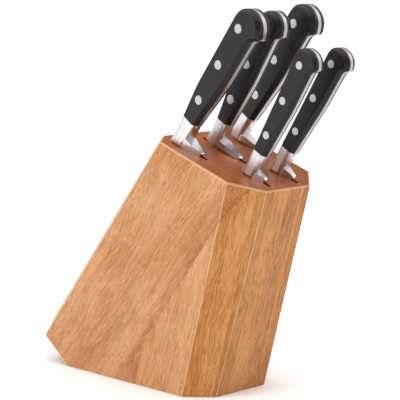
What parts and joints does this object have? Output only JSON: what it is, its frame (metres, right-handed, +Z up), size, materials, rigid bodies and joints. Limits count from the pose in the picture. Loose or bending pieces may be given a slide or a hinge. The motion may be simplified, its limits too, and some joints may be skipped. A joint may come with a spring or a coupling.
{
  "type": "knife block with knives",
  "caption": "Slanted wooden knife block, laminated from boards with chamfered corners, holding full-tang kitchen knives with riveted dark handles, each drawn out along its own slot.",
  "frame": {"origin": "middle of the flat base of the block, on the surface it stands on", "axes": "+Z up; -Y towards the front, the side the handles lean to; +X to the right seen from the front"},
  "size_m": [0.09, 0.2915, 0.2972],
  "materials": {
    "block_wood": "clear satin varnish over oiled hardwood",
    "blade_steel": "satin ground blade and forged bolster",
    "handle_scales": "fine satin moulded, buffed edges",
    "rivet_steel": "flush ground rivet heads"
  },
  "bodies": {
    "block": {"left_side_board_rear": "block_wood", "left_side_board_front": "block_wood", "right_side_board_rear": "block_wood", "right_side_board_front": "block_wood", "inner_board_1": "block_wood", "inner_board_2": "block_wood", "inner_board_3": "block_wood", "inner_board_4": "block_wood", "carving_slot_front_strip": "block_wood", "carving_slot_rear_strip": "block_wood", "utility_slot_front_strip": "block_wood", "utility_slot_rear_strip": "block_wood", "chef_slot_front_strip": "block_wood", "chef_slot_rear_strip": "block_wood", "paring_slot_front_strip": "block_wood", "paring_slot_rear_strip": "block_wood", "bread_slot_front_strip": "block_wood", "bread_slot_rear_strip": "block_wood"},
    "carving_knife": {"carving_knife_blade": "blade_steel", "carving_knife_left_scale": "handle_scales", "carving_knife_right_scale": "handle_scales", "carving_knife_rivets": "rivet_steel"},
    "utility_knife": {"utility_knife_blade": "blade_steel", "utility_knife_left_scale": "handle_scales", "utility_knife_right_scale": "handle_scales", "utility_knife_rivets": "rivet_steel"},
    "chef_knife": {"chef_knife_blade": "blade_steel", "chef_knife_left_scale": "handle_scales", "chef_knife_right_scale": "handle_scales", "chef_knife_rivets": "rivet_steel"},
    "paring_knife": {"paring_knife_blade": "blade_steel", "paring_knife_left_scale": "handle_scales", "paring_knife_right_scale": "handle_scales", "paring_knife_rivets": "rivet_steel"},
    "bread_knife": {"bread_knife_blade": "blade_steel", "bread_knife_left_scale": "handle_scales", "bread_knife_right_scale": "handle_scales", "bread_knife_rivets": "rivet_steel"}
  },
  "joints": [
    {"name": "carving_knife_slide", "type": "slide", "parent": "block", "child": "carving_knife", "axis": [0, -0.6129, 0.7902], "range_m": [0, 0.208]},
    {"name": "utility_knife_slide", "type": "slide", "parent": "block", "child": "utility_knife", "axis": [0, -0.524, 0.8517], "range_m": [0, 0.142]},
    {"name": "chef_knife_slide", "type": "slide", "parent": "block", "child": "chef_knife", "axis": [0, -0.527, 0.8499], "range_m": [0, 0.21]},
    {"name": "paring_knife_slide", "type": "slide", "parent": "block", "child": "paring_knife", "axis": [0, -0.5577, 0.83], "range_m": [0, 0.107]},
    {"name": "bread_knife_slide", "type": "slide", "parent": "block", "child": "bread_knife", "axis": [0, -0.585, 0.8111], "range_m": [0, 0.21]}
  ]
}
